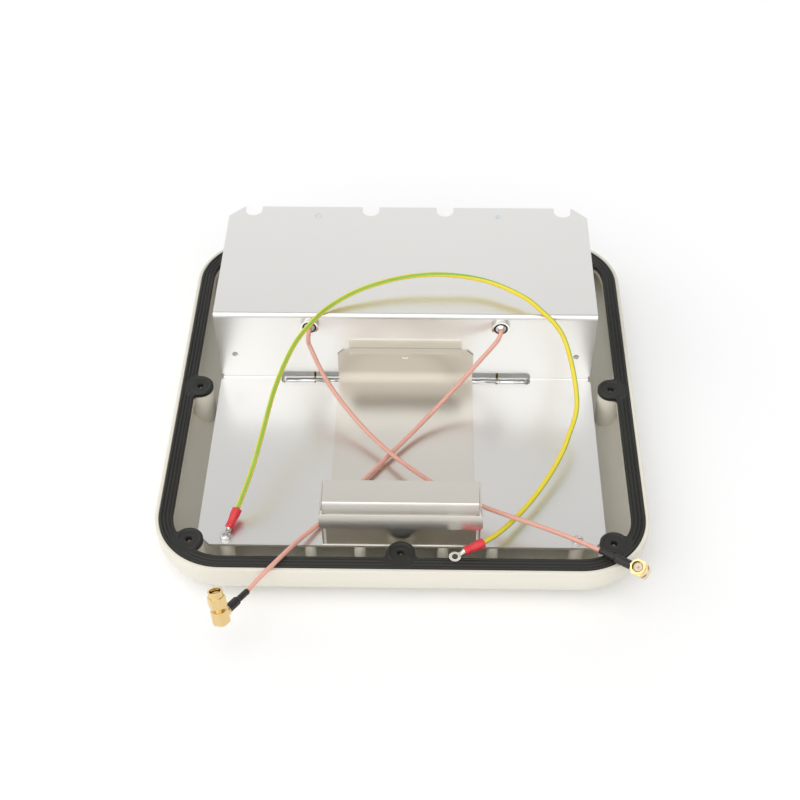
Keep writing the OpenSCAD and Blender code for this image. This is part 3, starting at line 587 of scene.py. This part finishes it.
def ease(node, width, body, material_slot, material):
    """A copy of a CAD node with its corners eased by a small bevel, so that they catch the light as bent and
    cut sheet does."""
    shape = bmesh.new()
    shape.from_mesh(nodes[node].data)
    bmesh.ops.remove_doubles(shape, verts=shape.verts, dist=0.000002)
    bmesh.ops.dissolve_limit(shape, angle_limit=radians(0.4), verts=shape.verts, edges=shape.edges)
    mesh = bpy.data.meshes.new(f"{node}_eased")
    shape.to_mesh(mesh)
    shape.free()
    mesh.materials.append(material)
    mesh.polygons.foreach_set("use_smooth", np.ones(len(mesh.polygons), bool))
    piece = bpy.data.objects.new(f"{node}_eased", mesh)
    bpy.context.collection.objects.link(piece)
    bevel = piece.modifiers.new("bevel", "BEVEL")
    bevel.width = width * MM
    bevel.segments = 2
    bevel.limit_method = "ANGLE"
    bevel.angle_limit = radians(40)
    even = piece.modifiers.new("even", "WEIGHTED_NORMAL")
    even.weight = 100
    return settle(piece, body, material_slot, node)


ease("bent_sheet", 0.15, "housing", "sheet_metal", aluminium)


def polished_paint(start):
    streaks = start.grain(start.stretched(start.place(), (1, 6, 6)), 90, 3)
    return {"Base Color": streaks.tint((0.72, 0.72, 0.71), (0.93, 0.93, 0.92)),
            "Roughness": 0.05 + 0.05 * streaks}


def creases(start):
    """Soft ripples, longer along X than across it."""
    return start.grain(start.stretched(start.place(), (1, 2, 2)), 60, 2)


polished = finish("polished_sheet", polished_paint, creases, 0.00008, Metallic=1.0)
creased = finish("creased_strip", polished_paint, creases, 0.0006, Metallic=1.0)
ease("ground_sheet", 0.1, "housing", "sheet_metal", polished)

# A polished strip folded to a shallow gutter. It hangs below the slot in the lower bend and shines through
# it, and its height wavers a little along its length.
fold = np.array([[3.6, 21.7], [9, 21.4], [11.6, 21.4], [12.2, 20.9], [12.6, 20.2], [13.2, 20.4], [14.2, 21.0],
                 [16, 21.4]])
strip_thick = 0.5
fold_loop = np.vstack([fold - [0, strip_thick], fold[::-1]])
reach = np.linspace(-71, 71, 80)
wobble = 0.12 * np.sin(reach * 0.31) + 0.08 * np.sin(reach * 0.83 + 1)
gutter = np.empty((len(reach), len(fold_loop), 3))
gutter[:, :, 0] = reach[:, None]
gutter[:, :, 1] = fold_loop[:, 0]
gutter[:, :, 2] = fold_loop[:, 1] + wobble[:, None] - 0.2
settle(net("slot_gutter", gutter * MM, creased, round_v=True, caps=True), "housing", "sheet_metal")

# The cradle for the module: bright tinplate, folded from one strip, with a hooked band and a clamp lid at the
# front and one rivet at the back.


def tin_paint(start):
    """Tinplate, with painted shade that makes the rear upright darker than the strip and the lid."""
    sockets = rolled_paint((0.74, 0.71, 0.655), (0.82, 0.79, 0.735), 0.25)(start)
    place = start.place()
    height = start.axis(place, "Z")
    # Painted shade: the band of the rear upright, between these heights, is tinted darker.
    rear = start.axis(place, "Y").above(0.004, 0.008) * height.above(0.0255, 0.031) * (
        1 - height.above(0.0486, 0.0492))
    sockets["Base Color"] = (rear * 0.75).tint(sockets["Base Color"], (0.50, 0.47, 0.42))
    return sockets


tinplate = finish("tinplate", tin_paint, rolled_relief, 0.00002, Metallic=1.0)
nickel = finish("nickel", rolled_paint((0.55, 0.55, 0.54), (0.70, 0.70, 0.68), 0.12), rolled_relief,
                0.00002, Metallic=1.0)
for node in ("board_cradle", "cradle_band", "clamp_lid"):
    ease(node, 0.12, "housing", "tinplate", tinplate)
for node in ("earth_screw", "plate_screw"):
    ease(node, 0.15, "housing", "nickel", nickel)

# The turned fittings in the wall: two flanged bushings, each with painted shade in the groove round its
# barrel, and the cradle's hollow rivet, with painted shade in its hollow middle. All are plated and lathe
# marks run round them.


def turned_paint(across, up, groove):
    """Plated metal, with painted shade, near black, between the groove's two radii about the fitting's own
    axis.
    """
    def paint(start):
        place = start.place()
        x, z = start.axis(place, "X").absolute() - across * MM, start.axis(place, "Z") - up * MM
        out = start.sum_up("SQRT", x * x + z * z)
        # Painted shade: the recess between the groove's radii is tinted near black and made rougher.
        recess_shade = out.above((groove[0] - 0.1) * MM, (groove[0] + 0.1) * MM) * (
            1 - out.above((groove[1] - 0.1) * MM, (groove[1] + 0.1) * MM))
        marks = (out * 52000).sine() * 0.5 + 0.5
        bright = marks.tint((0.72, 0.71, 0.68), (0.86, 0.85, 0.82))
        return {"Base Color": recess_shade.tint(bright, (0.05, 0.045, 0.04)),
                "Roughness": 0.1 + 0.06 * marks + 0.4 * recess_shade}
    return paint


bushing = finish("turned_bushing", turned_paint(53.5, 65.3, (3.0, 3.9)), rolled_relief, 0.00002, Metallic=1.0)
# The rivet's painted shade fills its hollow middle, out to 0.7 mm from its axis.
rivet = finish("hollow_rivet", turned_paint(0, 42.6, (-1.0, 0.7)), rolled_relief, 0.00002, Metallic=1.0)
for side in ("left", "right"):
    ease(f"{side}_bushing", 0.15, "housing", "nickel", bushing)
ease("cradle_rivet", 0.15, "housing", "nickel", rivet)

# The feeds: a solder cone round each cable at its bushing, and a brass pin down to the board behind the wall.
# The plugs' snap rings are of the same brass.
solder = finish("solder", rolled_paint((0.66, 0.66, 0.65), (0.78, 0.78, 0.77), 0.22), rolled_relief,
                0.00004, Metallic=1.0)
brass = finish("brass", rolled_paint((0.72, 0.52, 0.2), (0.82, 0.64, 0.3), 0.2), rolled_relief, 0.00002,
               Metallic=1.0)
for side in ("left", "right"):
    ease(f"{side}_solder", 0.2, "housing", "solder", solder)
    ease(f"{side}_feed_pin", 0.1, "housing", "brass", brass)
    ease(f"{side}_snap_ring", 0.05, "housing", "brass", brass)

# The antenna inside: a glass-fibre board with two copper patches, hung under the ground sheet on nylon
# spacers.


def weave_paint(start):
    place = start.place()
    x, y = start.axis(place, "X"), start.axis(place, "Y")
    weave = (x * 5200).sine() * (y * 5200).sine() * 0.5 + 0.5
    return {"Base Color": weave.tint((0.42, 0.40, 0.22), (0.50, 0.47, 0.27)), "Roughness": 0.35 + 0.1 * weave}


def copper_paint(start):
    stain = start.grain(start.place(), 80, 4)
    return {"Base Color": stain.tint((0.78, 0.40, 0.24), (0.60, 0.28, 0.17)), "Roughness": 0.2 + 0.25 * stain}


def nylon_paint(start):
    stain = start.grain(start.place(), 200, 2)
    return {"Base Color": stain.tint((0.80, 0.79, 0.74), (0.86, 0.85, 0.81)), "Roughness": 0.4 + 0.1 * stain}


board = finish("glass_board", weave_paint)
copper = finish("etched_copper", copper_paint, Metallic=1.0)
nylon = finish("nylon", nylon_paint)
ease("patch_board", 0.1, "housing", "board", board)
ease("radiating_patches", 0.05, "housing", "copper", copper)
ease("board_spacers", 0.15, "housing", "spacer_plastic", nylon)

# The plugs: a gold-plated elbow block, a coupling nut that turns on its shaft, the insulator and contact in
# its nose, and a black heat-shrink boot over the crimp.
gold = finish("gold_plate", rolled_paint((0.76, 0.55, 0.25), (0.86, 0.66, 0.34), 0.12), rolled_relief,
              0.00002, Metallic=1.0)


def shrink_paint(start):
    cloud = start.grain(start.place(), 300, 3)
    return {"Base Color": cloud.tint((0.010, 0.009, 0.0085), (0.028, 0.025, 0.023)),
            "Roughness": 0.38 + 0.2 * cloud}


def shrink_relief(start):
    lay = start.lay()
    rings = (start.axis(lay, "X") * (2 * pi / 0.0011)).sine()
    return 0.25 * rings + start.grain(start.place(), 900, 2)


shrink = finish("heat_shrink", shrink_paint, shrink_relief, 0.00005)
ptfe = finish("ptfe", nylon_paint)
for side, centre, inlet in (("left", left_plug, left_inlet), ("right", right_plug, right_inlet)):
    reach = np.concatenate([[0], np.linspace(0.3, 8.2, 12), np.linspace(8.5, 9.9, 8),
                            np.linspace(10.2, 17.7, 12), [18]])
    step = 1 / (1 + np.exp((reach - 9.1) * 4.5))
    ends = 1 - 0.1 * (reach < 0.1) - 0.1 * (reach > 17.9)
    shape = (1.65 + 0.72 * step) * ends + 0.03 * np.sin(reach * 2.3)
    line = (centre + (inlet_reach + reach[:, None]) * inlet) * MM
    boot = tube(f"{side}_boot", line, shape * MM, 24, shrink)
    settle(boot, "housing", "heat_shrink", f"{side}_plug_boot")
    ease(f"{side}_plug_elbow", 0.4, "housing", "gold_plate", gold)
    ease(f"{side}_plug_nut", 0.12, f"{side}_nut", "gold_plate", gold)
    ease(f"{side}_insulator", 0.1, "housing", "ptfe", ptfe)
    ease(f"{side}_contact", 0.05, "housing", "gold_plate", gold)

# The earth lead's ends: tinned ring terminals with red vinyl sleeves.
tinned = finish("tinned", rolled_paint((0.66, 0.65, 0.62), (0.78, 0.77, 0.74), 0.22), rolled_relief,
                0.00003, Metallic=1.0)


def vinyl_paint(start):
    cloud = start.grain(start.place(), 120, 3)
    return {"Base Color": cloud.tint((0.62, 0.012, 0.025), (0.78, 0.035, 0.05)),
            "Roughness": 0.22 + 0.15 * cloud}


vinyl = finish("red_vinyl", vinyl_paint, lambda start: start.grain(start.place(), 500, 2), 0.00008,
               Coat_Weight=0.3)
for name, place, way in (("fixed", fixed_sleeve, fixed_way), ("loose", loose_sleeve, loose_way)):
    reach = np.concatenate([[0], np.linspace(0.25, 10.75, 24), [11]])
    crimp = 0.16 * np.exp(-((reach - 3.6) / 1.0) ** 2)
    flare = 0.3 / (1 + np.exp((6.4 - reach) * 2))
    ends = 0.18 * (reach < 0.1) + 0.18 * (reach > 10.9)
    line = (place + reach[:, None] * way) * MM
    cover = tube(f"{name}_sleeve", line, (2.33 + flare - crimp - ends) * MM, 24, vinyl)
    settle(cover, "housing", "red_sleeve", f"{name}_sleeve_cover")
    ease(f"{name}_terminal", 0.1, "housing", "tinned_copper", tinned)

# The setting: a plain pale floor, one weak soft lamp overhead and a soft surround. The surround is brightest
# in a band high in front, and dimmer overhead, to the right and where the viewpoint is.
floor_paint = finish("floor", lambda start: {"Base Color": start.grain(start.place(), 3).tint(
    (0.97, 0.98, 1.0), (0.98, 0.99, 1.0))}, Roughness=0.6)
floor_half = 12.0
floor_corners = [[[x, y, 0] for x in (-floor_half, floor_half)] for y in (-floor_half, floor_half)]
floor = net("floor", np.array(floor_corners), floor_paint)
surround = bpy.data.worlds.new("surround")
bpy.context.scene.world = surround
surround.use_nodes = True
sky = Wire(surround.node_tree)
heading = sky.place()
across, back, height = (sky.axis(heading, name) for name in "XYZ")
front_glow = 0.85 + 1.2 * height.above(0.35, 0.6) - 1.0 * height.above(0.78, 0.9)
beside = sky.add("ShaderNodeVectorMath", {"operation": "DISTANCE"}, {0: heading, 1: (0.0, -0.66, 0.75)},
                 "Value")
dim = beside.above(0.06, 0.3) * 0.42 + 0.58
back_glow = (1.0 - 0.42 * height.above(0.68, 0.86)) * (
    1.0 - 0.25 * across.absolute().above(0.05, 0.14) * height.above(0.68, 0.75))
glow = sky.add("ShaderNodeMix", {"data_type": "FLOAT"}, {0: back.above(-0.25, 0.2), 2: front_glow * dim,
                                                        3: back_glow})
glow = glow * (1.0 - 0.6 * across.above(0.3, 0.8))
backdrop = surround.node_tree.nodes["Background"]
backdrop.inputs["Color"].default_value = (1.0, 0.99, 0.975, 1)
surround.node_tree.links.new(glow.socket, backdrop.inputs["Strength"])


def lamp(name, place, target, size, power):
    """A square soft lamp at a place, turned to a target."""
    light = bpy.data.lights.new(name, "AREA")
    light.size = size
    light.energy = power
    holder = bpy.data.objects.new(name, light)
    bpy.context.collection.objects.link(holder)
    way = unit(np.subtract(target, place))
    side = unit(np.cross(way, [0, 1, 0.01]))
    up = np.cross(side, way)
    holder.matrix_world = Matrix(np.vstack([np.column_stack([side, up, -way, place]), [0, 0, 0, 1]]).tolist())


lamp("top_lamp", (-0.3, -0.3, 1.9), (0, 0, 0), 1.2, 4)
bpy.context.scene.view_settings.view_transform = "Standard"
